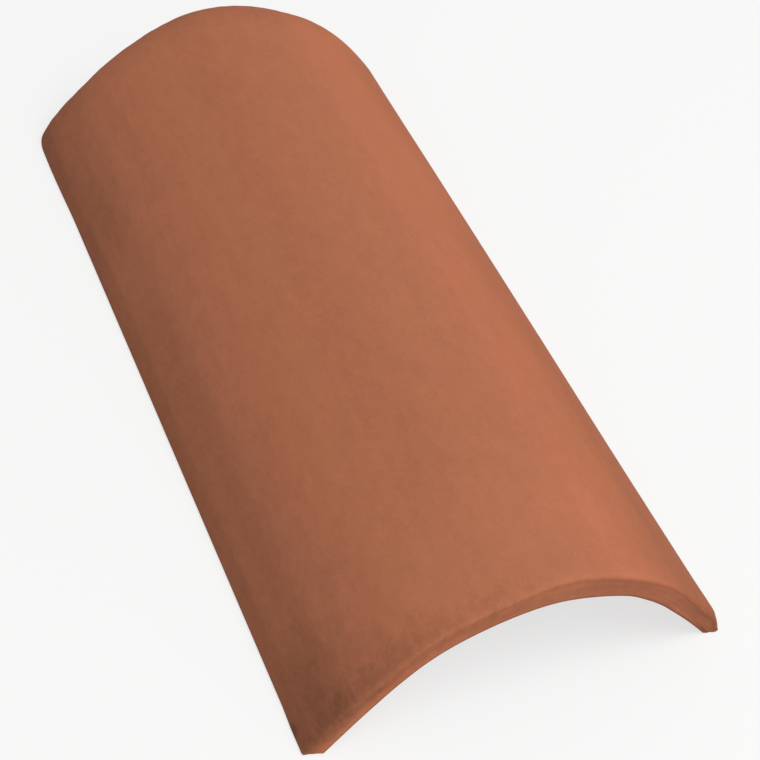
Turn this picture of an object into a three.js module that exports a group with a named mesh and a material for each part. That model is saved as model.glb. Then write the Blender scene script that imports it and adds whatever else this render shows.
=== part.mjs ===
// A curved clay roof tile, also called a barrel tile, laid in overlapping courses as a
// trough or as a cover. It is one piece of fired clay: an arch that tapers from a wide
// end to a narrow end, so that each tile slips over the head of the next.
//
// Millimetres, +Z up. The tile stands on its two feet with its crown up. The origin is on
// the ground under the middle of the tile, +Y runs from the wide end to the narrow end,
// and the tile is symmetrical about x = 0.

import * as THREE from "three";

// ---- Driving dimensions ----

const LENGTH = 400;

const WIDE_END_WIDTH = 206; // over the feet
const WIDE_END_RISE = 76; // ground to the top of the crown
const NARROW_END_WIDTH = 189;
const NARROW_END_RISE = 69;

const CROWN_WALL = 13.5; // clay thickness at the crown
const FOOT_WIDTH = 9.5; // the flat that each side stands on
const TOE_HEIGHT = 10.5; // steep outer edge above each foot
const TOE_CORNER_RADIUS = 1; // between the toe and the underside of the foot

// Each arch is three-centred: a crown arc and two flatter flank arcs. The crown arc turns
// through the crown angle on each side of the top, and a flank meets its toe or its foot at
// the springing angle. The toe is straight, and steeper than the flank above it. All are
// slopes in degrees, level at the top of the crown.
const OUTER_CROWN_ANGLE = 30;
const OUTER_SPRINGING_ANGLE = 57.5;
const TOE_ANGLE = 64;
const INNER_CROWN_ANGLE = 49;
const INNER_SPRINGING_ANGLE = 52;

// Hand-smoothed arrises round the two end faces. Each is a quarter of an ellipse: its
// length runs along the tile and its depth into the wall. The one at the narrow end is
// drawn out, so that the next tile slides over it.
const WIDE_END_ARRIS = { length: 2, depth: 2 };
const NARROW_END_ARRIS = { length: 12, depth: 4.5 };
const INNER_ARRIS = { length: 1.5, depth: 1.5 };

// ---- Fineness of the mesh ----

const OUTER_CROWN_STEPS = 7; // chords along half of the arc
const OUTER_FLANK_STEPS = 7;
const TOE_CORNER_STEPS = 4;
const INNER_CROWN_STEPS = 12;
const ARRIS_STEPS = 5;
const LENGTH_STEPS = 8;

const FIRED_CLAY = new THREE.MeshStandardMaterial({
  name: "fired_clay",
  color: 0xb06a4e,
  roughness: 0.85,
  metalness: 0,
});

const radians = THREE.MathUtils.degToRad;
const lerp = THREE.MathUtils.lerp;

// A point of a circle, with the angle counted from the crown, clockwise seen from -Y.
function pointOnArc(centre, radius, angle) {
  return new THREE.Vector2(
    centre.x + radius * Math.sin(angle),
    centre.y + radius * Math.cos(angle),
  );
}

// The two circles of half a three-centred arch that springs at (halfWidth, springHeight)
// and peaks at (0, springHeight + rise). They share a tangent where they meet, so the
// centres and that point are in one line.
function threeCentredArch(halfWidth, rise, springHeight, crownAngle, springingAngle) {
  const crown = radians(crownAngle);
  const springing = radians(springingAngle);
  const crownRun = Math.sin(crown);
  const flankRun = Math.sin(springing) - crownRun;
  const crownDrop = 1 - Math.cos(crown);
  const flankDrop = Math.cos(crown) - Math.cos(springing);
  const scale = crownRun * flankDrop - flankRun * crownDrop;
  const crownRadius = (halfWidth * flankDrop - rise * flankRun) / scale;
  const flankRadius = (rise * crownRun - halfWidth * crownDrop) / scale;
  const crownCentre = new THREE.Vector2(0, springHeight + rise - crownRadius);
  const flankCentre = pointOnArc(crownCentre, crownRadius - flankRadius, crown);
  return { crown, crownRadius, crownCentre, flankRadius, flankCentre };
}

// Points along half an arch from its crown to endAngle, on circles grown by offset.
function archPoints(arch, offset, endAngle, crownSteps, flankSteps) {
  const points = [];
  for (let i = 0; i <= crownSteps; i++) {
    const angle = (arch.crown * i) / crownSteps;
    points.push(pointOnArc(arch.crownCentre, arch.crownRadius + offset, angle));
  }
  for (let i = 1; i <= flankSteps; i++) {
    const angle = lerp(arch.crown, endAngle, i / flankSteps);
    points.push(pointOnArc(arch.flankCentre, arch.flankRadius + offset, angle));
  }
  return points;
}

// How far across the straight face of the toe lies at a height, when the clay is cut back.
// The face touches the corner's circle, which reaches out to halfWidth where nothing is cut.
function toeFaceX(halfWidth, height, cut) {
  const toe = radians(TOE_ANGLE);
  const centreX = halfWidth - TOE_CORNER_RADIUS;
  const lean = (height - TOE_CORNER_RADIUS) * Math.cos(toe);
  return centreX + (TOE_CORNER_RADIUS - cut - lean) / Math.sin(toe);
}

// The right half of the tile's outside, from the crown down the flank and the toe to the
// flat of the foot. The clay is cut back by arrisCut, though never by more than half of the
// foot, and by footCut underneath.
function outerHalf(halfWidth, rise, arrisCut, footCut) {
  const cut = Math.min(arrisCut, FOOT_WIDTH / 2);
  const toe = radians(TOE_ANGLE);
  const toeTop = new THREE.Vector2(toeFaceX(halfWidth, TOE_HEIGHT, 0), TOE_HEIGHT);
  const arch = threeCentredArch(
    toeTop.x,
    rise - TOE_HEIGHT,
    TOE_HEIGHT,
    OUTER_CROWN_ANGLE,
    OUTER_SPRINGING_ANGLE,
  );
  const outward = pointOnArc(new THREE.Vector2(), 1, toe);
  const reach = toeTop.clone().sub(arch.flankCentre).dot(outward) - cut;
  const end = toe - Math.acos(reach / (arch.flankRadius - cut));
  const points = archPoints(arch, -cut, end, OUTER_CROWN_STEPS, OUTER_FLANK_STEPS);
  const cornerHeight = footCut + TOE_CORNER_RADIUS;
  const cornerCentre = new THREE.Vector2(
    toeFaceX(halfWidth, cornerHeight, cut + TOE_CORNER_RADIUS),
    cornerHeight,
  );
  for (let i = 0; i <= TOE_CORNER_STEPS; i++) {
    const angle = lerp(toe, Math.PI, i / TOE_CORNER_STEPS);
    points.push(pointOnArc(cornerCentre, TOE_CORNER_RADIUS, angle));
  }
  return points;
}

// The right half of the tile's inside, from under the crown down to the foot, with as many
// points as the outside has.
function innerHalf(halfWidth, rise, arrisCut) {
  const arch = threeCentredArch(
    halfWidth - FOOT_WIDTH,
    rise - CROWN_WALL,
    0,
    INNER_CROWN_ANGLE,
    INNER_SPRINGING_ANGLE,
  );
  const drop = (arrisCut - arch.flankCentre.y) / (arch.flankRadius + arrisCut);
  const outerSteps = OUTER_CROWN_STEPS + OUTER_FLANK_STEPS + 1 + TOE_CORNER_STEPS;
  const flankSteps = outerSteps - INNER_CROWN_STEPS;
  return archPoints(arch, arrisCut, Math.acos(drop), INNER_CROWN_STEPS, flankSteps);
}

// Both halves of a section side, from the left foot over the crown to the right foot.
function wholeSide(half, y) {
  const right = half.map((p) => new THREE.Vector3(p.x, y, p.y));
  const left = half.slice(1).map((p) => new THREE.Vector3(-p.x, y, p.y));
  return [...left.reverse(), ...right];
}

// The section of the tile at one place along its length. The outside and the inside can
// lie at slightly different places, because their arrises differ.
function section(outerY, innerY, outerCut, innerCut) {
  const halfWidthAt = (y) => lerp(WIDE_END_WIDTH, NARROW_END_WIDTH, y / LENGTH + 0.5) / 2;
  const riseAt = (y) => lerp(WIDE_END_RISE, NARROW_END_RISE, y / LENGTH + 0.5);
  const outer = outerHalf(halfWidthAt(outerY), riseAt(outerY), outerCut, innerCut);
  const inner = innerHalf(halfWidthAt(innerY), riseAt(innerY), innerCut);
  return { outer: wholeSide(outer, outerY), inner: wholeSide(inner, innerY) };
}

// The sections of one end, from its face inwards. Both arrises turn through a quarter of
// their ellipses: they start on the face, fully cut back, and end flush with the outside
// and the inside. end is -1 at the wide end and 1 at the narrow one.
function endSections(end, outerArris) {
  const sections = [];
  for (let i = 0; i <= ARRIS_STEPS; i++) {
    const turn = ((Math.PI / 2) * i) / ARRIS_STEPS;
    const cut = 1 - Math.sin(turn);
    const setBack = 1 - Math.cos(turn);
    const outerY = end * (LENGTH / 2 - outerArris.length * setBack);
    const innerY = end * (LENGTH / 2 - INNER_ARRIS.length * setBack);
    sections.push(section(outerY, innerY, outerArris.depth * cut, INNER_ARRIS.depth * cut));
  }
  return sections;
}

// The straight length between the two rounded ends, where both sides are at full size.
function bodySections() {
  const start = WIDE_END_ARRIS.length - LENGTH / 2;
  const stop = LENGTH / 2 - NARROW_END_ARRIS.length;
  const sections = [];
  for (let i = 1; i < LENGTH_STEPS; i++) {
    const y = lerp(start, stop, i / LENGTH_STEPS);
    sections.push(section(y, y, 0, 0));
  }
  return sections;
}

// Skins the sections into one closed surface: the outside, the inside, the two feet and
// the two end faces are each a band of quadrilaterals.
function loft(sections) {
  const across = sections[0].outer.length;
  const vertices = sections.flatMap(({ outer, inner }) => [...outer, ...inner]);
  const outerAt = (row, i) => 2 * across * row + i;
  const innerAt = (row, i) => outerAt(row, i) + across;
  const indices = [];
  // Corners are given clockwise as seen from outside the clay.
  const quad = (a, b, c, d) => indices.push(a, d, c, a, c, b);

  for (let row = 0; row + 1 < sections.length; row++) {
    for (let i = 0; i + 1 < across; i++) {
      quad(outerAt(row, i), outerAt(row + 1, i), outerAt(row + 1, i + 1), outerAt(row, i + 1));
      quad(innerAt(row, i), innerAt(row, i + 1), innerAt(row + 1, i + 1), innerAt(row + 1, i));
    }
    const right = across - 1;
    quad(outerAt(row, 0), innerAt(row, 0), innerAt(row + 1, 0), outerAt(row + 1, 0));
    quad(outerAt(row, right), outerAt(row + 1, right), innerAt(row + 1, right), innerAt(row, right));
  }

  const last = sections.length - 1;
  for (let i = 0; i + 1 < across; i++) {
    quad(outerAt(0, i), outerAt(0, i + 1), innerAt(0, i + 1), innerAt(0, i));
    quad(outerAt(last, i), innerAt(last, i), innerAt(last, i + 1), outerAt(last, i + 1));
  }

  const geometry = new THREE.BufferGeometry().setFromPoints(vertices);
  geometry.setIndex(indices);
  geometry.computeVertexNormals();
  return geometry;
}

function roofTile() {
  const wideEnd = endSections(-1, WIDE_END_ARRIS);
  const narrowEnd = endSections(1, NARROW_END_ARRIS).reverse();
  const tile = new THREE.Mesh(loft([...wideEnd, ...bodySections(), ...narrowEnd]), FIRED_CLAY);
  tile.name = "roof_tile";
  return tile;
}

const model = new THREE.Group();
model.add(roofTile());

export default model;
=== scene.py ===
# %% [markdown]
# # A curved clay roof tile
#
# A barrel tile is one piece of fired clay: half of a tapered pipe, laid as a trough or as a
# cover, with each tile lapping over the head of the next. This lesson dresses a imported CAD
# model of one. The CAD part already holds the real sizes, and it stays where it is as a fixed
# frame. What it can't hold is what makes clay look like clay: a skin that isn't quite even,
# arrises rubbed soft by hand, and a colour that wanders with the sand and the fire.
#
# Everything below is in metres, in the same frame as the CAD part: +Y runs from the wide end
# to the narrow end, +Z goes up through the crown, and the tile stands on z = 0.

# %% Load the fixed frame
import math

import bpy
import numpy as np
from mathutils import Matrix, Vector, noise
from mathutils.bvhtree import BVHTree


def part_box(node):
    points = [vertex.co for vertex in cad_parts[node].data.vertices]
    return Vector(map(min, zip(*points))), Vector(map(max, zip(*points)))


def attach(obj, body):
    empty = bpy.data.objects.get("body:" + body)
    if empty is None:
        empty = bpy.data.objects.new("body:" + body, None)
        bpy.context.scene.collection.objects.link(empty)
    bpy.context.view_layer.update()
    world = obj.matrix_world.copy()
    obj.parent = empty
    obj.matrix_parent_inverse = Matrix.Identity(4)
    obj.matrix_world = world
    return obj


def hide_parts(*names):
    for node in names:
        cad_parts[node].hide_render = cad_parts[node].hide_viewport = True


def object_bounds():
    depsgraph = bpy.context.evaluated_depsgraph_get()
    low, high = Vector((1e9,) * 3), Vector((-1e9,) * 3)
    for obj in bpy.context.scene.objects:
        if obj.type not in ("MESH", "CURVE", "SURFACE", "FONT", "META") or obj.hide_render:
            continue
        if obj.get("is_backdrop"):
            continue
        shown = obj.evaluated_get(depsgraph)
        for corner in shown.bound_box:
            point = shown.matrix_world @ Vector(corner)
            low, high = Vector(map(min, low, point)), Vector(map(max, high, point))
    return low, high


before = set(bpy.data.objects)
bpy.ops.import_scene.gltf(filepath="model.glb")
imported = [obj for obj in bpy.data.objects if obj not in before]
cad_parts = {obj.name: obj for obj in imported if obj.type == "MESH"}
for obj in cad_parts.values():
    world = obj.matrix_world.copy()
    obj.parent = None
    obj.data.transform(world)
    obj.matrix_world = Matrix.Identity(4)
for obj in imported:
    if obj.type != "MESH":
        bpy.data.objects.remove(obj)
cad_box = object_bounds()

lowest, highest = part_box("roof_tile")
LENGTH = highest.y - lowest.y
print(f"the tile is {LENGTH:.3f} m long and {highest.x - lowest.x:.3f} m wide")

# %% [markdown]
# ## Where we look from
#
# A camera is easiest to think about as a walk round the object: how far round, how high, how
# far away, and how much the camera is tilted in the hands. A long lens from a metre away keeps
# the perspective calm, so that the long straight flanks don't splay. We build the camera's
# own three axes from those angles, rather than use a Track To constraint, because a
# constraint can't hold a roll.

# %% The camera
AZIMUTH = math.radians(-29.96)  # round from the wide end towards -X
ELEVATION = math.radians(48.05)
ROLL = math.radians(9.36)
DISTANCE = 1.1143
AIM = Vector((0.0014, -0.0309, 0.0240))
FOCAL_LENGTH = 111.27  # mm
SENSOR_WIDTH = 36  # mm

level = math.cos(ELEVATION)
backward = Vector((math.sin(AZIMUTH) * level, -math.cos(AZIMUTH) * level, math.sin(ELEVATION)))
rightward = Vector((math.cos(AZIMUTH), math.sin(AZIMUTH), 0))
upward = backward.cross(rightward)
camera_x = math.cos(ROLL) * rightward + math.sin(ROLL) * upward
camera_y = math.cos(ROLL) * upward - math.sin(ROLL) * rightward

camera = bpy.data.objects.new("camera", bpy.data.cameras.new("camera"))
camera.data.lens = FOCAL_LENGTH
camera.data.sensor_width = SENSOR_WIDTH
facing = Matrix((camera_x, camera_y, backward)).transposed()
camera.matrix_world = Matrix.Translation(AIM + backward * DISTANCE) @ facing.to_4x4()
bpy.context.scene.collection.objects.link(camera)
bpy.context.scene.camera = camera
print("the camera is at", [round(c, 3) for c in camera.matrix_world.translation])

# %% [markdown]
# ## Writing shaders as sums
#
# A shader tree is arithmetic drawn as boxes and wires. With more than a handful of nodes, the
# drawing hides the sums. So this class wraps one output socket and lets Python's own operators
# add the Math nodes: `1 - mask * 0.3` reads as it would on paper. A Math node turns a colour
# grey, so colours and vectors have methods of their own, which use Mix and Vector Math. Every
# other kind of node comes from the one method called `node`.


# %% A socket that can be added and multiplied
class Wire:
    """One output socket of a shader tree."""

    def __init__(self, tree, socket=None):
        self.tree = tree
        self.socket = socket

    def node(self, kind, settings=None, inputs=None, output=0):
        """Adds a node of a kind, with its settings and then its sockets, and wraps its output."""
        made = self.tree.nodes.new("ShaderNode" + kind)
        for name, value in (settings or {}).items():
            if name == "stops":
                ramp = made.color_ramp.elements
                while len(ramp) < len(value):
                    ramp.new(1)
                for element, (position, colour) in zip(ramp, value):
                    element.position = position
                    element.color = colour
            else:
                setattr(made, name, value)
        for name, value in (inputs or {}).items():
            if isinstance(value, Wire):
                self.tree.links.new(value.socket, made.inputs[name])
            else:
                made.inputs[name].default_value = value
        return Wire(self.tree, made.outputs[output]) if made.outputs else None

    def maths(self, operation, *values):
        return self.node("Math", {"operation": operation}, dict(enumerate(values)))

    def __add__(self, other):
        return self.maths("ADD", self, other)

    def __sub__(self, other):
        return self.maths("SUBTRACT", self, other)

    def __rsub__(self, other):
        return self.maths("SUBTRACT", other, self)

    def __mul__(self, other):
        return self.maths("MULTIPLY", self, other)

    __radd__ = __add__
    __rmul__ = __mul__

    def distance(self, middle, reach):
        """How far this place is from the middle, where 1 is the reach along each axis."""
        apart = self.node("VectorMath", {"operation": "SUBTRACT"}, {0: self, 1: middle})
        shares = apart.stretched(*(1 / length for length in reach))
        return shares.node("VectorMath", {"operation": "LENGTH"}, {0: shares}, "Value")

    def ramp(self, low, high):
        """0 below low and 1 above high, with a soft step between them."""
        inputs = {"Value": self, "From Min": low, "From Max": high}
        return self.node("MapRange", {"interpolation_type": "SMOOTHSTEP"}, inputs)

    def band(self, rise, full, fade, end):
        """1 from full to fade, with soft steps up from rise and down to end."""
        return self.ramp(rise, full) * (1 - self.ramp(fade, end))

    def blend(self, first, second):
        """The first colour where this wire is 0, and the second where it is 1."""
        settings = {"data_type": "RGBA", "clamp_factor": False}
        return self.node("Mix", settings, {0: self, 6: first, 7: second}, 2)

    def stretched(self, along_x, along_y, along_z):
        """This vector with each of its axes scaled by itself."""
        factors = (along_x, along_y, along_z)
        return self.node("VectorMath", {"operation": "MULTIPLY"}, {0: self, 1: factors})

    def noise(self, size, detail=2.0, roughness=0.5):
        """Soft noise over this vector, from 0 to 1, whose lumps are about size across."""
        inputs = {"Vector": self, "Scale": 1 / size, "Detail": detail, "Roughness": roughness}
        return self.node("TexNoise", {}, inputs)


def new_tree(owner):
    """Empties the owner's shader tree and wraps it."""
    owner.use_nodes = True
    owner.node_tree.nodes.clear()
    return Wire(owner.node_tree)


# %% [markdown]
# ## The floor
#
# Small building parts are often shown on a white sweep. A floor that is truly lit to white would
# throw so much light back that the clay's own shading washed out. So the floor answers in two
# ways. What the camera sees is mostly a plain white card that glows by itself, with enough of a
# real surface left to keep the tile's shadow. Every other ray meets a plain pale grey surface.
# Light Path tells the shader which kind of ray is asking.

# %% Pale floor and white surroundings
FLOOR_HALF_SIZE = 12.0
FLOOR_SEEN = (0.86, 0.86, 0.85, 1)
FLOOR_LIT = (0.42, 0.42, 0.41, 1)  # what bounces light back on to the tile
CARD_SHARE = 0.70  # how much of what the camera sees of the floor is the glowing card
WHITE = (1, 1, 1, 1)
SKY_LEVEL = 0.375


def seen_directly(wire):
    """1 for rays of the camera and for rays that a gloss or glass turned, and 0 for the rest."""
    kinds = ("Is Camera Ray", "Is Glossy Ray", "Is Transmission Ray")
    camera_ray, glossy_ray, glass_ray = (wire.node("LightPath", output=kind) for kind in kinds)
    return wire.maths("MAXIMUM", camera_ray, wire.maths("MAXIMUM", glossy_ray, glass_ray))


corners = [(-1, -1, 0), (1, -1, 0), (1, 1, 0), (-1, 1, 0)]
floor_mesh = bpy.data.meshes.new("floor")
floor_mesh.from_pydata([Vector(corner) * FLOOR_HALF_SIZE for corner in corners], [], [range(4)])
floor = bpy.data.objects.new("floor", floor_mesh)
bpy.context.scene.collection.objects.link(floor)
floor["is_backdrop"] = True

floor_look = bpy.data.materials.new("floor")
wire = new_tree(floor_look)
direct = seen_directly(wire)
surface = wire.node("BsdfDiffuse", inputs={"Color": direct.blend(FLOOR_LIT, FLOOR_SEEN)})
card = wire.node("Emission", inputs={"Color": WHITE, "Strength": 1})
mixed = wire.node("MixShader", inputs={0: direct * CARD_SHARE, 1: surface, 2: card})
wire.node("OutputMaterial", inputs={"Surface": mixed})
floor.data.materials.append(floor_look)

world = bpy.data.worlds.new("studio")
bpy.context.scene.world = world
wire = new_tree(world)
sky = wire.node("Background", inputs={"Color": WHITE, "Strength": SKY_LEVEL})
backdrop = wire.node("Background", inputs={"Color": WHITE, "Strength": 1})
mixed = wire.node("MixShader", inputs={0: seen_directly(wire), 1: sky, 2: backdrop})
wire.node("OutputWorld", inputs={"Surface": mixed})
bpy.context.scene.view_settings.view_transform = "Standard"
print("the floor is", 2 * FLOOR_HALF_SIZE, "m across")

# %% [markdown]
# ## Soft light
#
# Clay is matt, so its form is read only from how the light falls off round the arch. One big
# lamp nearly overhead does most of the work, and a pale sky fills the shadows. A second lamp
# stands low on the right, by the wide end, and picks out the right flank and the end face. Area
# lamps are used because their size is what makes a shadow soft. A lamp's power is worked out
# from its level: at level 1, a surface that faces the lamp renders as bright as its colour is
# written.

# %% Two area lamps
LAMP_DISTANCE = 2.6
LAMPS = {
    # name: (lean from overhead towards +X, turn towards the wide end, size, level)
    "overhead": (math.radians(15), math.radians(20), 1.6, 0.66),
    "right": (math.radians(75), math.radians(55), 1.4, 0.22),
}

for name, (lean, turn, size, lamp_level) in LAMPS.items():
    across = math.cos(turn)
    towards = Vector((math.sin(lean) * across, -math.sin(turn), math.cos(lean) * across))
    lamp = bpy.data.objects.new(name, bpy.data.lights.new(name, "AREA"))
    lamp.data.size = size
    lamp.data.energy = lamp_level * (math.pi * LAMP_DISTANCE) ** 2
    lamp.location = towards * LAMP_DISTANCE
    lamp.rotation_mode = "QUATERNION"
    lamp.rotation_quaternion = towards.to_track_quat("Z", "Y")
    bpy.context.scene.collection.objects.link(lamp)
    print(f"lamp {name}: {lamp.data.energy:.0f} W")

# %% [markdown]
# ## The section of the tile
#
# Cut across anywhere, the tile is an arch of two circles to each side: a crown arc and a
# flatter flank arc that share a tangent where they meet. A potter gets this curve by bending a
# slab over a wooden form. The outside ends in a short, steeper toe, and the tile stands on the
# flat of its foot. The inside is an arch of its own, so the wall thins a little towards the
# feet.
#
# The same circles are used here as in the CAD part, only with far more points along them, and
# with a crisper arris round the inside. They could be drawn as Blender curves and bevelled, but
# a tapered tile needs a new section at each place, and a formula gives that exactly.

# %% Sizes of the tile
WIDE_END = {"width": 0.206, "rise": 0.076}
NARROW_END = {"width": 0.189, "rise": 0.069}
CROWN_WALL = 0.0135
FOOT_WIDTH = 0.0095
TOE_HEIGHT = 0.0105
TOE_CORNER_RADIUS = 0.001
OUTER_CROWN_ANGLE = math.radians(30)
OUTER_SPRINGING_ANGLE = math.radians(57.5)
TOE_ANGLE = math.radians(64)
INNER_CROWN_ANGLE = math.radians(49)
INNER_SPRINGING_ANGLE = math.radians(52)
WIDE_END_ARRIS = {"length": 0.002, "depth": 0.002}
NARROW_END_ARRIS = {"length": 0.012, "depth": 0.0045}
INNER_ARRIS = {"length": 0.0007, "depth": 0.0015}  # crisper than in the CAD part
FOOT_ARRIS_SHARE = 0.4  # the underside of the foot is cut back less than the inside is
print(f"it narrows by {WIDE_END['width'] - NARROW_END['width']:.3f} m from end to end")


# %% Arches
def arc(centre, radius, start, stop, steps):
    """Points of a circle in x and z. Angles are counted from the crown towards +X."""
    angle = np.linspace(start, stop, steps + 1)
    return np.stack((centre[0] + radius * np.sin(angle), centre[1] + radius * np.cos(angle)), 1)


def three_centred_arch(half_width, rise, spring_height, crown_angle, springing_angle):
    """Centre and radius of the crown arc, and centre and radius of the flank arc."""
    crown_run = math.sin(crown_angle)
    flank_run = math.sin(springing_angle) - crown_run
    crown_drop = 1 - math.cos(crown_angle)
    flank_drop = math.cos(crown_angle) - math.cos(springing_angle)
    scale = crown_run * flank_drop - flank_run * crown_drop
    crown_radius = (half_width * flank_drop - rise * flank_run) / scale
    flank_radius = (rise * crown_run - half_width * crown_drop) / scale
    crown_centre = (0, spring_height + rise - crown_radius)
    flank_centre = arc(crown_centre, crown_radius - flank_radius, crown_angle, crown_angle, 0)[0]
    return crown_centre, crown_radius, flank_centre, flank_radius


OUTER_STEPS = {"crown": 32, "flank": 66, "toe": 6, "corner": 6}
INNER_STEPS = {"crown": 66, "flank": 44}


def toe_face_x(half_width, height, cut):
    """How far across the face of the toe lies at a height, when the clay is cut back."""
    lean = (height - TOE_CORNER_RADIUS) * math.cos(TOE_ANGLE)
    return half_width - TOE_CORNER_RADIUS + (TOE_CORNER_RADIUS - cut - lean) / math.sin(TOE_ANGLE)


def outer_half(half_width, rise, cut, foot_cut):
    """The right half of the outside, crown to foot, with its clay cut back by the arris."""
    toe_top = toe_face_x(half_width, TOE_HEIGHT, 0)
    arch = three_centred_arch(
        toe_top, rise - TOE_HEIGHT, TOE_HEIGHT, OUTER_CROWN_ANGLE, OUTER_SPRINGING_ANGLE
    )
    crown_centre, crown_radius, flank_centre, flank_radius = arch
    reach = (toe_top - flank_centre[0]) * math.sin(TOE_ANGLE)
    reach += (TOE_HEIGHT - flank_centre[1]) * math.cos(TOE_ANGLE)
    end = TOE_ANGLE - math.acos((reach - cut) / (flank_radius - cut))
    crown = arc(crown_centre, crown_radius - cut, 0, OUTER_CROWN_ANGLE, OUTER_STEPS["crown"])
    flank = arc(flank_centre, flank_radius - cut, OUTER_CROWN_ANGLE, end, OUTER_STEPS["flank"])
    corner_z = foot_cut + TOE_CORNER_RADIUS
    corner_centre = (toe_face_x(half_width, corner_z, cut + TOE_CORNER_RADIUS), corner_z)
    corner = arc(corner_centre, TOE_CORNER_RADIUS, TOE_ANGLE, math.pi, OUTER_STEPS["corner"])
    toe = np.linspace(flank[-1], corner[0], OUTER_STEPS["toe"] + 1)
    return np.concatenate((crown, flank[1:], toe[1:], corner[1:]))


def inner_half(half_width, rise, cut, foot_cut):
    """The right half of the inside, crown to foot, with as many points as the outside."""
    arch = three_centred_arch(
        half_width - FOOT_WIDTH, rise - CROWN_WALL, 0, INNER_CROWN_ANGLE, INNER_SPRINGING_ANGLE
    )
    crown_centre, crown_radius, flank_centre, flank_radius = arch
    end = math.acos((foot_cut - flank_centre[1]) / (flank_radius + cut))
    crown = arc(crown_centre, crown_radius + cut, 0, INNER_CROWN_ANGLE, INNER_STEPS["crown"])
    flank = arc(flank_centre, flank_radius + cut, INNER_CROWN_ANGLE, end, INNER_STEPS["flank"])
    return np.concatenate((crown, flank[1:]))


wide_half = outer_half(WIDE_END["width"] / 2, WIDE_END["rise"], 0, 0)
print(f"half of the wide end's outside has {len(wide_half)} points")

# %% [markdown]
# ## Skinning the sections
#
# The tile's surface is one closed loop of points, repeated along its length: over the outside,
# under the right foot, back along the inside and under the left foot. Rows of that loop make
# the long sides, and a grid between the first loop's outside and inside closes each end. Near
# the ends the rows stand close together and turn through a quarter of an ellipse, which rounds
# the arris as a wet thumb does.

# %% Rows and loops
WALL_STEPS = 8
ARRIS_STEPS = 10
END_REACH = 0.030  # the last length at each end, where rows stand close enough to hold nicks
END_STEPS = 24
MIDDLE_STEPS = 112


def end_rows(end, outer_arris):
    """Rows from an end face inwards: places of the outside and inside, and how far each is cut."""
    turn = np.linspace(0, math.pi / 2, ARRIS_STEPS + 1)
    set_back = 1 - np.cos(turn)
    cut = 1 - np.sin(turn)
    outer_y = end * (LENGTH / 2 - outer_arris["length"] * set_back)
    inner_y = end * (LENGTH / 2 - INNER_ARRIS["length"] * set_back)
    return np.stack((outer_y, inner_y, outer_arris["depth"] * cut, INNER_ARRIS["depth"] * cut), 1)


def whole_side(half, y):
    """Both halves of one side, from the left foot over the crown to the right foot."""
    right = np.stack((half[:, 0], np.full(len(half), y), half[:, 1]), 1)
    left = right[:0:-1] * (-1, 1, 1)
    return np.concatenate((left, right))


def loop_at(outer_y, inner_y, outer_cut, inner_cut):
    """The whole closed loop of the section at one row."""
    outer_share = outer_y / LENGTH + 0.5
    inner_share = inner_y / LENGTH + 0.5
    taper = {key: NARROW_END[key] - WIDE_END[key] for key in WIDE_END}
    outer_width, outer_rise = (WIDE_END[key] + taper[key] * outer_share for key in WIDE_END)
    inner_width, inner_rise = (WIDE_END[key] + taper[key] * inner_share for key in WIDE_END)
    foot_cut = inner_cut * FOOT_ARRIS_SHARE
    outer = whole_side(outer_half(outer_width / 2, outer_rise, outer_cut, foot_cut), outer_y)
    inner = whole_side(inner_half(inner_width / 2, inner_rise, inner_cut, foot_cut), inner_y)
    right_foot = np.linspace(outer[-1], inner[-1], WALL_STEPS + 1)[1:-1]
    left_foot = np.linspace(inner[0], outer[0], WALL_STEPS + 1)[1:-1]
    return np.concatenate((outer, right_foot, inner[::-1], left_foot))


middle_stop = LENGTH / 2 - END_REACH
wide_y = np.linspace(WIDE_END_ARRIS["length"] - LENGTH / 2, -middle_stop, END_STEPS + 1)
middle_y = np.linspace(-middle_stop, middle_stop, MIDDLE_STEPS + 1)
narrow_y = np.linspace(middle_stop, LENGTH / 2 - NARROW_END_ARRIS["length"], END_STEPS + 1)
body_y = np.concatenate((wide_y[1:], middle_y[1:], narrow_y[1:-1]))
body_rows = np.stack((body_y, body_y, 0 * body_y, 0 * body_y), 1)
rows = np.concatenate(
    (end_rows(-1, WIDE_END_ARRIS), body_rows, end_rows(1, NARROW_END_ARRIS)[::-1])
)
loops = np.array([loop_at(*row) for row in rows])
row_count, loop_size = loops.shape[:2]
side_size = 2 * sum(OUTER_STEPS.values()) + 1
inner_start = side_size + WALL_STEPS - 1
print(f"{row_count} rows of {loop_size} points")


# %% Faces
def grid_faces(grid):
    """Quadrilaterals of a grid of point numbers, facing along its columns times its rows."""
    here, right = grid[:-1, :-1], grid[:-1, 1:]
    above, opposite = grid[1:, :-1], grid[1:, 1:]
    return np.stack((here, right, opposite, above), -1).reshape(-1, 4)


def end_grid(row, first_new):
    """Point numbers of the grid that closes an end, from the outside to the inside."""
    grid = np.empty((side_size, WALL_STEPS + 1), int)
    start = row * loop_size
    inner_wall = np.arange(WALL_STEPS - 1)
    grid[:, 0] = start + np.arange(side_size)
    grid[:, -1] = start + inner_start + np.arange(side_size)[::-1]
    grid[-1, 1:-1] = start + side_size + inner_wall
    grid[0, 1:-1] = start + loop_size - 1 - inner_wall
    middle = grid[1:-1, 1:-1]
    grid[1:-1, 1:-1] = first_new + np.arange(middle.size).reshape(middle.shape)
    return grid


def end_points(loop):
    """The points inside the end's grid, evenly across the wall."""
    outer = loop[:side_size]
    inner = loop[inner_start : inner_start + side_size][::-1]
    share = np.linspace(0, 1, WALL_STEPS + 1)[1:-1, None, None]
    between = outer + (inner - outer) * share
    return between.transpose(1, 0, 2)[1:-1].reshape(-1, 3)


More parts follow.
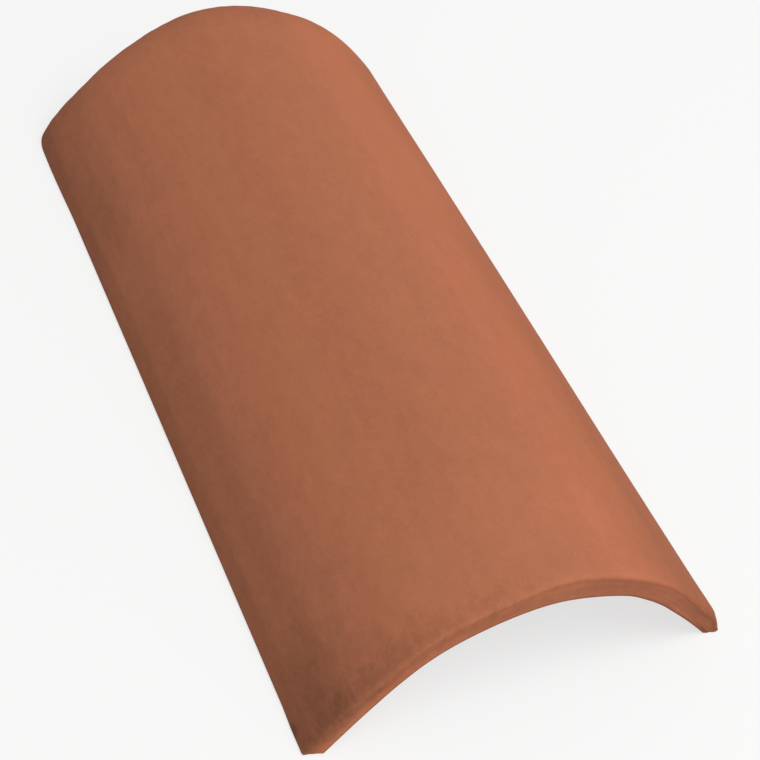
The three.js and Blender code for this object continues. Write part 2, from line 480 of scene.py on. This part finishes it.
side_points = loops.reshape(-1, 3)
wide_points = end_points(loops[0])
narrow_points = end_points(loops[-1])
points = np.concatenate((side_points, wide_points, narrow_points))
wide_grid = end_grid(0, len(side_points))
narrow_grid = end_grid(row_count - 1, len(side_points) + len(wide_points))
side_grid = np.arange(row_count * loop_size).reshape(row_count, loop_size)
side_grid = np.concatenate((side_grid, side_grid[:, :1]), 1)
faces = np.concatenate(
    (grid_faces(side_grid), grid_faces(wide_grid), grid_faces(narrow_grid)[:, ::-1])
)
print(f"{len(points)} points, {2 * len(faces)} triangles")

# %% [markdown]
# ## A skin made by hand
#
# A drawn arch is too perfect. On the real tile the slab was rolled, pulled lengthwise over the
# form and smoothed with a wet hand, so its skin swells and dips by a few tenths of a
# millimetre, more slowly along the tile than across it. A Displace modifier could add swells,
# but it would lift the feet off the floor. Moving the points ourselves lets each move fade out
# where the clay has to stay put.

# %% Places on the skin
WALL_SHARES = np.linspace(0, 1, WALL_STEPS + 1)[1:-1]


def run_along(side):
    """How far each point of a side lies from its crown, along the side, with its sign."""
    run = np.concatenate(([0], np.cumsum(np.linalg.norm(np.diff(side, axis=0), axis=1))))
    return run - run[-1] / 2


middle_loop = loops[row_count // 2]
outer_run = run_along(middle_loop[:side_size])
inner_run = run_along(middle_loop[inner_start : inner_start + side_size][::-1])
half_run = outer_run[-1]  # from the crown down to a foot
foot_run = np.full(WALL_STEPS - 1, half_run)
loop_around = np.concatenate((outer_run, foot_run, inner_run[::-1], -foot_run))
loop_inside = np.concatenate(
    (np.zeros(side_size), WALL_SHARES, np.ones(side_size), WALL_SHARES[::-1])
)
end_around = np.repeat(outer_run[1:-1], WALL_STEPS - 1)
end_inside = np.tile(WALL_SHARES, side_size - 2)
around = np.concatenate((np.tile(loop_around, row_count), end_around, end_around))
inside = np.concatenate((np.tile(loop_inside, row_count), end_inside, end_inside))
print(f"from the crown to a foot is {1000 * half_run:.0f} mm round the outside")

# %% Swells of the skin
SWELL_HEIGHT = 0.00030
SWELL_SIZE = 0.035
STRETCH = 0.35  # swells are about three times as long as they are wide
SWELL_SEED = 3.0
FOOT_CALM = 0.010  # height over which the swells grow from nothing at the feet


def swells(places, size, seed):
    """Smooth noise from about -1 to 1 at each place."""
    offset = Vector((seed, seed, seed))
    return np.array([noise.noise(Vector(place) / size + offset) for place in places])


radial = np.stack((points[:, 0], 0 * points[:, 1], points[:, 2]), 1)
radial /= np.linalg.norm(radial, axis=1)[:, None]
drawn_out = points * (1, STRETCH, 1)
calm = np.clip(points[:, 2] / FOOT_CALM, 0, 1)
height = SWELL_HEIGHT * swells(drawn_out, SWELL_SIZE, SWELL_SEED) * calm
points += radial * height[:, None]
print(f"the skin swells by up to {1000 * np.abs(height).max():.2f} mm")

# %% [markdown]
# ## Cuts off square, and knocks
#
# The wire that cuts a wet tile to length is held by hand, so the wide end isn't quite square.
# The arris it leaves is ragged until a thumb has gone over it, and the corners of the feet get
# rubbed and knocked on the drying rack. In sculpt mode these would be a few strokes of the Grab
# brush. The same brush takes three lines of code: every point inside an egg-shaped reach moves,
# fully at the middle and less and less towards the rim.
#
# The egg is laid out on the tile as if it were unrolled: around the arch, along the tile and
# through the wall. So a push on the outer arris can leave the inner one where it is.

# %% The off-square cut and the ragged arris
CUT_SKEW = 0.0115  # how far the cut runs out for each metre that it is left of the crown
CUT_REACH = 0.060  # from the wide end, where the slant of the cut has faded out
RAGGED_HEIGHT = 0.00035
RAGGED_SIZE = 0.006
RAGGED_REACH = 0.006  # from the arris
RAGGED_SEED = 11.0

# The knocks are laid out in millimetres, on the tile as it is before the cut.
unrolled_points = 1000 * np.stack((around, points[:, 1], inside * CROWN_WALL), 1)
from_wide_end = points[:, 1] + LENGTH / 2
from_narrow_end = LENGTH / 2 - points[:, 1]
from_end = np.minimum(from_wide_end, from_narrow_end)
to_outer_arris = np.hypot(from_end, inside * CROWN_WALL)
ragged = np.clip(1 - to_outer_arris / RAGGED_REACH, 0, 1)
ragged *= swells(points, RAGGED_SIZE, RAGGED_SEED)
fade = np.clip(1 - from_wide_end / CUT_REACH, 0, 1) ** 2
points[:, 1] += CUT_SKEW * np.minimum(points[:, 0], 0) * fade
ragged_height = RAGGED_HEIGHT * ragged * calm
points += radial * ragged_height[:, None]
print(f"the arrises are ragged by up to {1000 * np.abs(ragged_height).max():.2f} mm")

# %% Knocks
MILLIMETRE = 0.001
KNOCKS = {
    # name: (middle and reach around, along and through the wall, move in x, y and z), in mm
    "right toe rubbed narrow": ((140, -200, 0), (26, 60, 9), (-3.2, 0, 0)),
    "full right flank": ((106, -196, 0), (24, 26, 14), (0.4, 0, 0.3)),
    "right foot cut back": ((118, -200, 14), (46, 40, 31), (0, 1.8, 0)),
    "arris rubbed above the right foot": ((103, -200, 0), (25, 5.5, 7), (-1.6, 0, -0.9)),
    "foot left full on the right": ((122, -200, 9), (14, 14, 16), (0, -0.6, 0)),
    "pared above the right foot": ((84, -200, 13.5), (26, 12, 8), (0.35, 0, 0.25)),
    "pared right of the crown": ((45, -200, 13.5), (12, 8, 8), (0, 0, 0.45)),
    "pared on the left flank": ((-46, -200, 13.5), (22, 10, 8), (-0.3, 0, 0.45)),
    "crisp corner of the right foot": ((129.5, -200.3, 0), (6, 1.3, 5), (1.4, -0.4, 0)),
    "crisp corner of the left foot": ((-129.5, -200.3, 0), (6, 1.3, 5), (0.1, 0.8, 0)),
    "left foot cut back": ((-128, -200, 2), (18, 22, 14), (-0.4, 1.2, 0)),
    "full left flank": ((-126, -184, 0), (12, 13, 10), (-0.3, 0, 0)),
    "thick lip right of the crown": ((34, -200, 0), (56, 36, 16), (0.5, 0.5, 1.3)),
    "full right shoulder": ((70, -200, 0), (34, 40, 14), (0.7, 0.2, 0.6)),
    "thin lip left of the crown": ((-20, -200, 0), (24, 30, 14), (0, -0.4, -0.4)),
    "thick lip on the left": ((-54, -200, 0), (26, 30, 12), (-0.3, 0.3, 0.5)),
    "arris rubbed over the crown": ((0, -200, 0), (104, 5, 5), (0, 0.4, -0.4)),
    "arris rubbed right of the crown": ((12, -200, 0), (18, 8, 5), (0, 0.3, 0.1)),
    "nick in the inner arris": ((2, -200, 13.5), (18, 6, 8), (0, 0, 0.4)),
    "second nick in the inner arris": ((12, -200, 13.5), (17, 7, 8), (0, 0, 0.4)),
    "full corner of the narrow end": ((-122, 172, 5), (34, 44, 30), (-0.8, 0, 0)),
    "crisp corner of the narrow end": ((-126, 200, 0), (14, 12, 12), (0.25, 0.5, 0)),
    "flat on the narrow rim": ((-88, 197, 5), (28, 26, 20), (0.2, -0.6, 0)),
    "corner on the narrow rim": ((78, 192, 5), (34, 26, 20), (0.4, 0.2, 0.3)),
    "dip in the narrow rim": ((36, 197, 5), (26, 30, 20), (0, -0.9, -0.7)),
    "swell in the narrow rim": ((-14, 197, 5), (28, 26, 20), (0, 0.5, 0.6)),
}

for name, (middle, reach, move) in KNOCKS.items():
    apart = (unrolled_points - middle) / reach
    weight = np.clip(1 - (apart**2).sum(1), 0, 1) ** 2
    points += weight[:, None] * move * MILLIMETRE
    print(f"{name}: {np.count_nonzero(weight)} points moved")

# %% [markdown]
# ## How near the clay is to an arris
#
# The shader needs to know which clay is arris and which is cut face, so that it can paint a
# highlight and shade on the arris of the wide end and leave drag marks only where the wire went.
# Blender's own Pointiness could find the arrises, but it depends on the mesh, and only Cycles
# knows it. The distance to each arris is already at hand here, so it goes along as a number for
# every point.

# %% Distance to the nearest arris of an end
ARRIS_REACH = 0.007

to_inner_arris = np.hypot(from_end, (1 - inside) * CROWN_WALL)
worn = np.clip(1 - np.minimum(to_outer_arris, to_inner_arris) / ARRIS_REACH, 0, 1)
print(f"{np.count_nonzero(worn)} points lie near an arris")

# %% The tile's mesh
tile_mesh = bpy.data.meshes.new("fired_roof_tile")
tile_mesh.from_pydata(points.tolist(), [], faces.tolist())
tile_mesh.shade_smooth()
carried = {"around": around, "inside": inside, "worn": worn}
for name, values in carried.items():
    attribute = tile_mesh.attributes.new(name, "FLOAT", "POINT")
    attribute.data.foreach_set("value", values)

tile = bpy.data.objects.new("fired_roof_tile", tile_mesh)
bpy.context.scene.collection.objects.link(tile)
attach(tile, "root")
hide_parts("roof_tile")
print(f"{tile.name} carries {', '.join(carried)} for every point")

# %% How far the skin lies from the CAD part
cad_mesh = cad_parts["roof_tile"].data
cad_points = [vertex.co for vertex in cad_mesh.vertices]
cad_faces = [polygon.vertices for polygon in cad_mesh.polygons]
cad_surface = BVHTree.FromPolygons(cad_points, cad_faces)
gaps = [cad_surface.find_nearest(place)[3] for place in points]
print(f"the skin lies within {1000 * max(gaps):.2f} mm of the CAD part")

# %% [markdown]
# ## Fired clay
#
# Terracotta takes its colour from the iron in the clay, and it is never one colour. Each cause
# has a sum of its own here:
#
# - Bands follow the shape. Painted light makes the shoulders paler than the crown, and painted
#   shade makes the low flanks darker, as the light falls off round the arch. The right flank
#   grows paler towards the narrow end, and the lowest part of the left flank is paler at the wide
#   end and darker at the narrow end. Painted light makes the crown of the wide end paler and
#   painted shade its flanks a little darker, and painted shade darkens the narrow rim.
# - Clouds a few centimetres across come from the draught, and blotches and mottles of a
#   centimetre or less from patches of damper clay. The wet hand that smoothed the tile dragged
#   the slip lengthwise, in streaks that come and go. Sand and grog show as a faint grain.
# - Smoke together with painted shade darkens the left of the wide end, and a spot of soot sits
#   low on the left flank. A few patches have stayed pale, and a few grains have burnt dark.
# - The cut faces carry the drag marks of the wire. Painted light makes them paler towards the
#   inside and on the left, and painted shade darkens the right half low down and by its outer
#   arris. Round the wide one, the arris has a painted highlight on the left and painted shade
#   low on the right.
# - The hue changes as well. The right flank has turned redder than the left, painted shade
#   browns the clay low on the left flank and, with the smoke, at the left of the wide end, and
#   bands on the shoulders dried unevenly.
#
# Most of these are weak by themselves, and it is their overlap that makes the eye read clay. A
# picture would give all this at once, but would stretch, repeat and tie the tile to one pattern.
# So each cause is worked out at its real size in metres. Together they scale one colour, which
# is blended from three.

# %% Places on the clay
clay_look = bpy.data.materials.new("fired_clay")
wire = new_tree(clay_look)
place = wire.node("TexCoord", output="Object")
around_run = wire.node("Attribute", {"attribute_name": "around"}, output="Fac")
wall_share = wire.node("Attribute", {"attribute_name": "inside"}, output="Fac")
near_arris_share = wire.node("Attribute", {"attribute_name": "worn"}, output="Fac")
along = wire.node("SeparateXYZ", inputs={0: place}, output="Y")
unrolled = wire.node("CombineXYZ", inputs={"X": around_run, "Y": along, "Z": wall_share})
side = around_run * (1 / half_run)
off_crown = wire.maths("ABSOLUTE", side)
skin_share = 1 - wall_share.ramp(0.0, 0.08)  # 1 on the outside, and 0 elsewhere
lining_share = wall_share.ramp(0.92, 1.0)  # 1 on the inside
cut_share = 1 - skin_share - lining_share
right_side = wire.maths("MAXIMUM", side, 0)  # 0 at the crown and 1 at the right foot
left_side = wire.maths("MAXIMUM", 0 - side, 0)
wideward = 0 - along  # metres from the middle towards the wide end


def count_nodes(step):
    """Says how large the clay's shader is once a step has been added."""
    print(f"with {step}, the clay's shader has {len(clay_look.node_tree.nodes)} nodes")


count_nodes("places")

# %% Bands that come from the shape
# Across the tile, a ramp runs between shares of the way from the crown to a foot. Along it, a
# ramp runs between metres from the middle. The number after a ramp is the change in tone.
FLASH_STRAIGHT = 0.7  # beyond this share of the flank, the flash grows in a straight line

# Painted light makes the shoulders paler, and painted shade darkens the low flanks.
shoulder_light = off_crown.ramp(0.15, 0.38) * 0.113
low_flank_shade = right_side.ramp(0.50, 0.74) * 0.145 + left_side.ramp(0.65, 0.80) * 0.155
flash_across = right_side * wire.maths("MINIMUM", right_side, FLASH_STRAIGHT)
flash = flash_across * along * (0.17 / (LENGTH / 2))
low_left = left_side.ramp(0.84, 0.98) * (0.02 + along * 0.45)
# Painted light on the crown of the wide end, and painted shade on its flanks.
wide_end_light_and_shade = wideward.ramp(0.105, 0.165) * (0.06 - off_crown.ramp(0.30, 0.60) * 0.08)
# Painted shade along the narrow rim.
narrow_rim_shade = along.ramp(0.178, 0.190) * 0.055
wiped = right_side.band(0.38, 0.52, 0.64, 0.78) * 0.06 * wideward.ramp(0.14, 0.19)
bands = shoulder_light - low_flank_shade + flash - low_left + wide_end_light_and_shade - narrow_rim_shade - wiped
count_nodes("bands")

# %% Clouds, blotches, streaks and grain
CLOUD_SIZE = 0.045
BLOTCH_SIZE = 0.010
MOTTLE_SIZE = 0.0045
STREAK_SIZE = 0.008
STREAK_SPACING = 0.035  # from where the streaks show to where they fade out
GRAIN_SIZE = 0.0012

clouds = place.noise(CLOUD_SIZE, 3.0) - 0.5
blotches = place.stretched(1, 0.6, 1).noise(BLOTCH_SIZE, 4.0, 0.6) - 0.5
mottles = place.stretched(1, 0.6, 1).noise(MOTTLE_SIZE, 3.0, 0.7) - 0.5
streaky = unrolled.stretched(1, 0.4, 1).noise(STREAK_SPACING).ramp(0.35, 0.65)
streaks = (unrolled.stretched(1, 0.10, 1).noise(STREAK_SIZE, 3.0) - 0.5) * streaky
grain = place.noise(GRAIN_SIZE, 3.0, 0.7) - 0.5

# Mottles and streaks show more on the left flank than elsewhere.
wander = clouds * 0.06 + blotches * 0.17 + mottles * (0.17 + left_side * 0.14) + grain * 0.28
wander = wander + streaks * (0.10 + left_side * 0.24)
count_nodes("clouds, blotches, streaks and grain")


# %% Smoke with painted shade, pale patches and burnt grains
def patch(middle, reach, raggedness, full, end):
    """1 in a patch of the unrolled clay, and 0 outside. full and end are shares of its reach."""
    return 1 - (unrolled.distance(middle, reach) + raggedness).ramp(full, end)


# Middles and reaches are around and along, in metres, and then a share of the wall.
# Two patches darken the left of the wide end, with smoke and painted shade together.
smoke_with_shade = patch((-0.110, -0.200, 0), (0.052, 0.060, 1), blotches * 0.6, 0.15, 1.0)
smoke_with_shade = smoke_with_shade * (1 - wall_share.ramp(0.0, 0.9))
edge_smoke_with_shade = patch((-0.065, -0.203, 0), (0.075, 0.022, 1), mottles * 1.5, 0.1, 1.0)
edge_smoke_with_shade = edge_smoke_with_shade * (1 - wall_share.ramp(0.2, 0.9))
soot = patch((-0.1265, -0.187, 0), (0.004, 0.005, 1), mottles, 0.2, 1.0) * skin_share
PALE_PATCHES = {
    # name: (middle, reach, how much paler)
    "right flank": ((0.090, 0.080, 0), (0.032, 0.065, 1), 0.11),
    "left flank": ((-0.110, 0.070, 0), (0.020, 0.045, 1), 0.11),
    "low on the left": ((-0.115, -0.060, 0), (0.012, 0.160, 1), 0.06),
    "corner of the narrow end": ((0.090, 0.196, 0), (0.024, 0.022, 1), 0.22),
}
pale = 0
for middle, reach, strength in PALE_PATCHES.values():
    pale = pale + patch(middle, reach, blotches, 0.1, 1.0) * strength

# Every cell of the pattern has a random number, and only the highest few hold a burnt grain.
SPOT_SPACING = 0.022
spot_settings = {"voronoi_dimensions": "2D"}
spot_inputs = {"Vector": unrolled, "Scale": 1 / SPOT_SPACING}
spot_distance = wire.node("TexVoronoi", spot_settings, spot_inputs, "Distance")
spot_choice = wire.node("TexVoronoi", spot_settings, spot_inputs, "Color")
chosen = wire.node("SeparateXYZ", inputs={0: spot_choice}, output="X").ramp(0.80, 0.97)
spots = (1 - spot_distance.ramp(0.01, 0.04)) * chosen * (1 - cut_share)
count_nodes("smoke, pale patches and burnt grains")

# %% Cut faces
DRAG_SIZE = 0.0013

drags = unrolled.stretched(0.12, 1, CROWN_WALL).noise(DRAG_SIZE, 3.0, 0.6) - 0.5

# Painted light: the left half is paler along its inner arris, and in a band on the shoulder.
left_cut_light = left_side.ramp(0.25, 0.85) * (wall_share * wall_share * wall_share * 0.20 - 0.02)
left_cut_light = left_cut_light + left_side.band(0.22, 0.34, 0.48, 0.62) * 0.08
# Painted light makes the cut faces paler, more so towards the inside; the drag marks and mottles
# are the clay's own.
cut_shading_and_drags = 0.08 + wall_share * 0.13 + left_cut_light + drags * 0.22 + mottles * 0.10

# Painted shade: the right half is darker in a band, most by its outer arris, and darker low
# down, most of all by its inner arris.
shade_under_arris = right_side.band(0.08, 0.18, 0.36, 0.50)
cut_shading_and_drags = cut_shading_and_drags - shade_under_arris * (1 - wall_share * 0.8) * 0.10
cut_shading_and_drags = cut_shading_and_drags - right_side.ramp(0.0, 0.4) * 0.08 - right_side.ramp(0.7, 0.95) * 0.08
cut_shading_and_drags = cut_shading_and_drags - right_side.ramp(0.55, 0.75) * wall_share.ramp(0.7, 0.95) * 0.10

# Painted highlight on the arris at the left of the wide end, and painted shade low on its right.
rubbed = left_side.ramp(0.45, 0.70) * 0.09 - right_side.ramp(0.74, 0.86) * 0.12
rubbed = rubbed * near_arris_share.ramp(0.35, 0.95) * wideward.ramp(0.10, 0.16)
count_nodes("cut faces")

# %% How bright the clay is
BASE_TONE = 0.965

tone = BASE_TONE + wander + bands * skin_share + cut_shading_and_drags * cut_share
tone = tone + pale + rubbed - smoke_with_shade * 0.20 - edge_smoke_with_shade * 0.15 - soot * 0.25 - spots * 0.12
count_nodes("brightness")

# %% Colour of the clay
CLAY_BROWN = (0.443, 0.1530, 0.0766, 1)
CLAY_RED = (0.443, 0.1425, 0.0655, 1)
# The hue of smoked clay and of painted shade.
CLAY_SMOKED_AND_SHADED = (0.443, 0.1561, 0.0796, 1)
HUE_SIZE = 0.014
DAMP_GREENER = 0.022  # how much more green there is where damp is 1

redness = side.ramp(0.06, 0.74) * (1 - cut_share) + clouds * 0.6
redness = redness + (0.20 + left_side.ramp(0.0, 0.3) * 0.25) * cut_share
# Painted shade browns the clay low on the left flank, and, with the smoke, at the left of the wide
# end.
smoke_and_shade_share = wire.maths("MAXIMUM", smoke_with_shade, left_side.ramp(0.62, 0.76)) * (1 - cut_share)
hue_noise = place.stretched(1, 0.5, 1).noise(HUE_SIZE, 4.0, 0.6) - 0.5
damp_band = left_side.band(0.18, 0.30, 0.42, 0.54)
dry_band = right_side.band(0.18, 0.30, 0.42, 0.55)
damp = damp_band - dry_band * 0.9 + hue_noise * (2.5 - right_side.ramp(0.2, 0.35) * 1.2)
green = tone * (1 + damp * DAMP_GREENER)
tint = wire.node("CombineXYZ", inputs={"X": tone, "Y": green, "Z": tone})
hue = smoke_and_shade_share.blend(redness.blend(CLAY_BROWN, CLAY_RED), CLAY_SMOKED_AND_SHADED)
clay_colour = wire.node("VectorMath", {"operation": "MULTIPLY"}, {0: hue, 1: tint})
count_nodes("colour")

# %% Relief and finish of the clay
SAND_SIZE = 0.0016
GRAIN_DEPTH = 0.000040
MOTTLE_DEPTH = 0.000050
STREAK_DEPTH = 0.000060
SAND_DEPTH = 0.000160  # of the inside, which lay on the sanded form
DRAG_DEPTH = 0.000120
ROUGHNESS = 0.86
SPECULAR_LEVEL = 0.22

sand = (place.noise(SAND_SIZE, 3.0, 0.7) - 0.5) * lining_share
relief = grain * GRAIN_DEPTH + mottles * MOTTLE_DEPTH + streaks * STREAK_DEPTH
relief = relief + sand * SAND_DEPTH + drags * cut_share * DRAG_DEPTH
bumped = wire.node("Bump", inputs={"Height": relief, "Distance": 1.0})
skin_inputs = {
    "Base Color": clay_colour,
    "Roughness": ROUGHNESS + blotches * 0.10,
    "Specular IOR Level": SPECULAR_LEVEL,
    "Normal": bumped,
}
skin = wire.node("BsdfPrincipled", inputs=skin_inputs)
wire.node("OutputMaterial", inputs={"Surface": skin})
tile_mesh.materials.append(clay_look)
count_nodes("relief and finish")

# %% [markdown]
# ## Sizes at the end
#
# The dressed tile must still be the size of the CAD part. Both boxes are printed, so that they
# can be compared.

# %% Sizes, and the end
visual_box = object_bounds()
boxes = {"cad": cad_box, "visual": visual_box}
for name, (low, high) in boxes.items():
    print(name, "box in mm:", [round(1000 * value, 1) for value in (*low, *high)])
